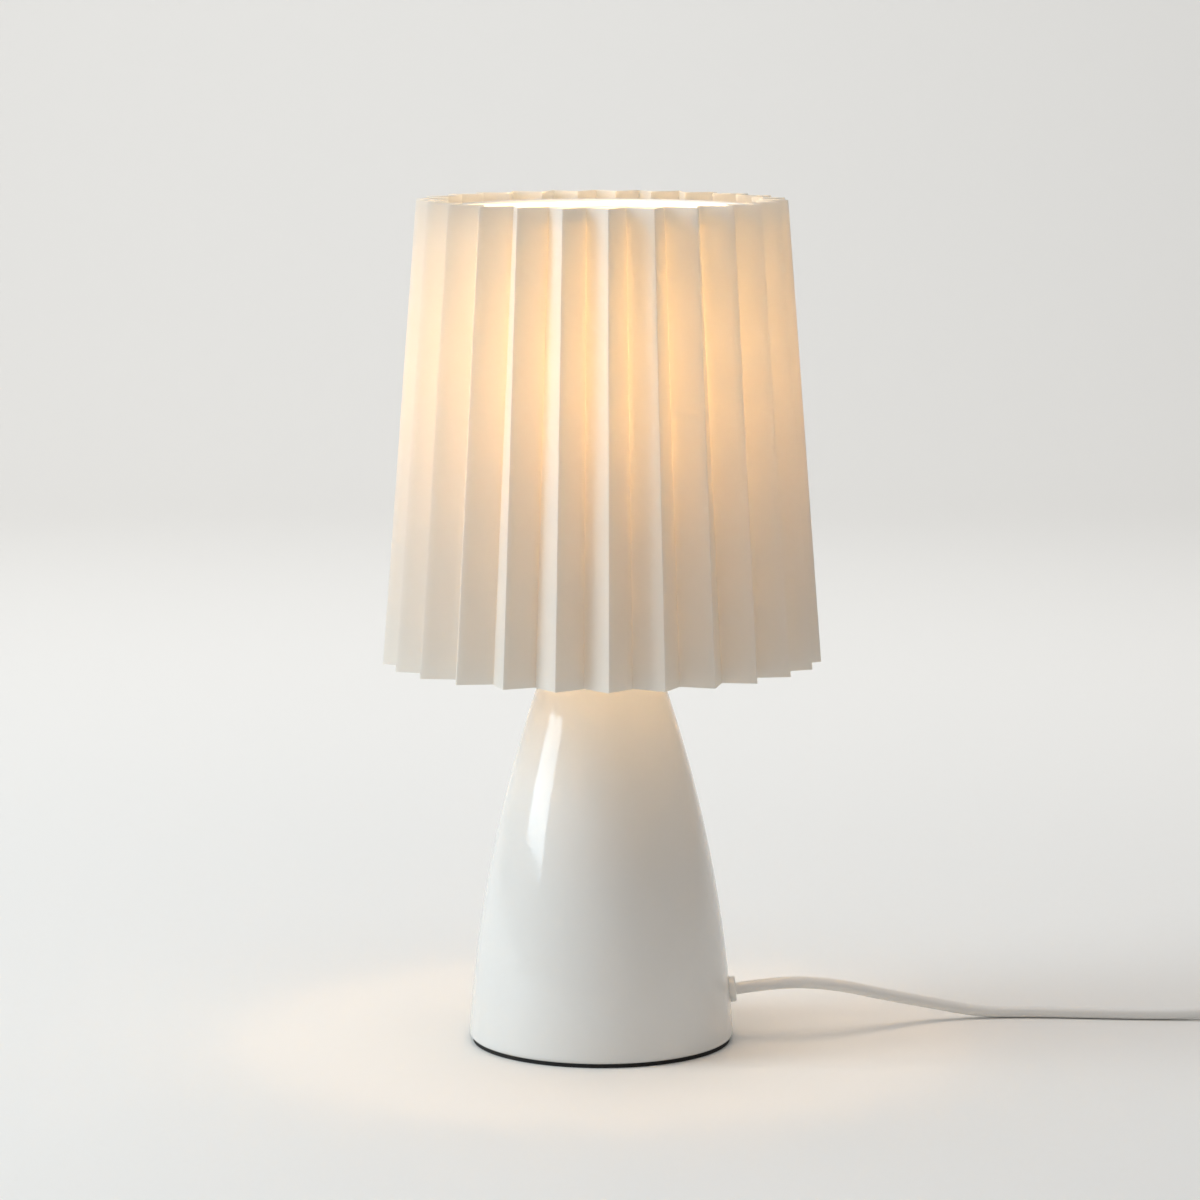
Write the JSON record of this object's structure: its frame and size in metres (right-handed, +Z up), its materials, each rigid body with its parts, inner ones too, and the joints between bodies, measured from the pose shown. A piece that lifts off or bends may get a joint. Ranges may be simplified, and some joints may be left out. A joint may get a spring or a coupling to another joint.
{
  "type": "table lamp",
  "caption": "Tapered glazed ceramic table lamp with an accordion-pleated shade, a screw-in bulb, an inline rocker switch and a coiled mains lead with a flat plug.",
  "frame": {"origin": "centre of the foot pad on the surface that the lamp stands on", "axes": "+Z up along the lamp's axis; +X towards the side where the lead leaves the base; -Y towards the viewer of the picture"},
  "size_m": [0.6029, 0.1798, 0.3462],
  "materials": {
    "glazed_ceramic": "glossy white glaze",
    "black_pad": "matt foam rubber",
    "zinc_steel": "zinc plated",
    "white_plastic": "satin moulded",
    "white_cord": "soft flexible sheath",
    "white_sleeve": "soft matt",
    "brass": "stamped",
    "brown_wire": "insulation",
    "blue_wire": "insulation",
    "white_steel": "white powder coat",
    "pleat_sheet": "translucent laminated sheet, crisp folds",
    "liner_sheet": "translucent sheet",
    "bulb_diffuser": "frosted, lit warm from inside",
    "bulb_housing": "moulded",
    "cap_metal": "bright",
    "black_insulator": "moulded",
    "board": "white solder mask",
    "core_plastic": "heat-resistant"
  },
  "bodies": {
    "base": {"ceramic_body": "glazed_ceramic", "foot_pad": "black_pad", "threaded_nipple": "zinc_steel", "inner_washer": "zinc_steel", "hex_nut": "zinc_steel", "neck_disc": "white_steel", "cord_bush": "white_plastic", "inner_cord": "white_cord", "cord_clamp": "white_plastic", "holder_cap": "white_plastic", "holder_skirt": "white_plastic", "holder_insert": "core_plastic", "screw_shell": "brass", "centre_contact": "brass", "terminal_screws": "brass", "neutral_wire": "blue_wire", "live_wire": "brown_wire", "shade_ring_nut": "white_plastic", "cord_to_switch": "white_cord", "entry_sleeve": "white_sleeve", "exit_sleeve": "white_sleeve", "switch_lower_shell": "white_plastic", "switch_upper_shell": "white_plastic", "rocker_axle": "zinc_steel", "switch_screws": "zinc_steel", "contact_blades": "brass", "through_wire": "blue_wire", "cord_to_coil": "white_cord", "cord_coil": "white_cord", "coil_straps": "white_sleeve", "cord_to_plug": "white_cord", "plug_sleeve": "white_sleeve", "plug_body": "white_plastic", "plug_pins": "brass", "pin_sleeves": "black_insulator"},
    "shade": {"fitter_ring": "white_steel", "fitter_arms": "white_steel", "bottom_wire_ring": "white_steel", "top_wire_ring": "white_steel", "shade_liner": "liner_sheet", "pleated_cover": "pleat_sheet"},
    "bulb_foot": {"bulb_tip": "cap_metal", "bulb_insulator": "black_insulator"},
    "bulb": {"bulb_cap": "cap_metal", "bulb_housing": "bulb_housing", "led_board": "board", "bulb_globe": "bulb_diffuser"},
    "rocker": {"switch_rocker": "white_plastic"}
  },
  "joints": [
    {"name": "shade_turn", "type": "hinge", "parent": "base", "child": "shade", "pos_m": [0, 0, 0.19925], "axis": [0, 0, 1], "continuous": true},
    {"name": "bulb_turn", "type": "hinge", "parent": "bulb_foot", "child": "bulb", "pos_m": [0, 0, 0.2143], "axis": [0, 0, 1], "range_deg": [0, 2520]},
    {"name": "bulb_lift", "type": "slide", "parent": "base", "child": "bulb_foot", "axis": [0, 0, 1], "range_m": [0, 0.0254]},
    {"name": "rocker_tip", "type": "hinge", "parent": "base", "child": "rocker", "pos_m": [0.357, 0.033, 0.014], "axis": [0, -1, 0], "range_deg": [0, 16]}
  ],
  "couplings": [
    {"joint": "bulb_turn", "follows": "bulb_lift", "rad_per_m": 1731.4}
  ]
}
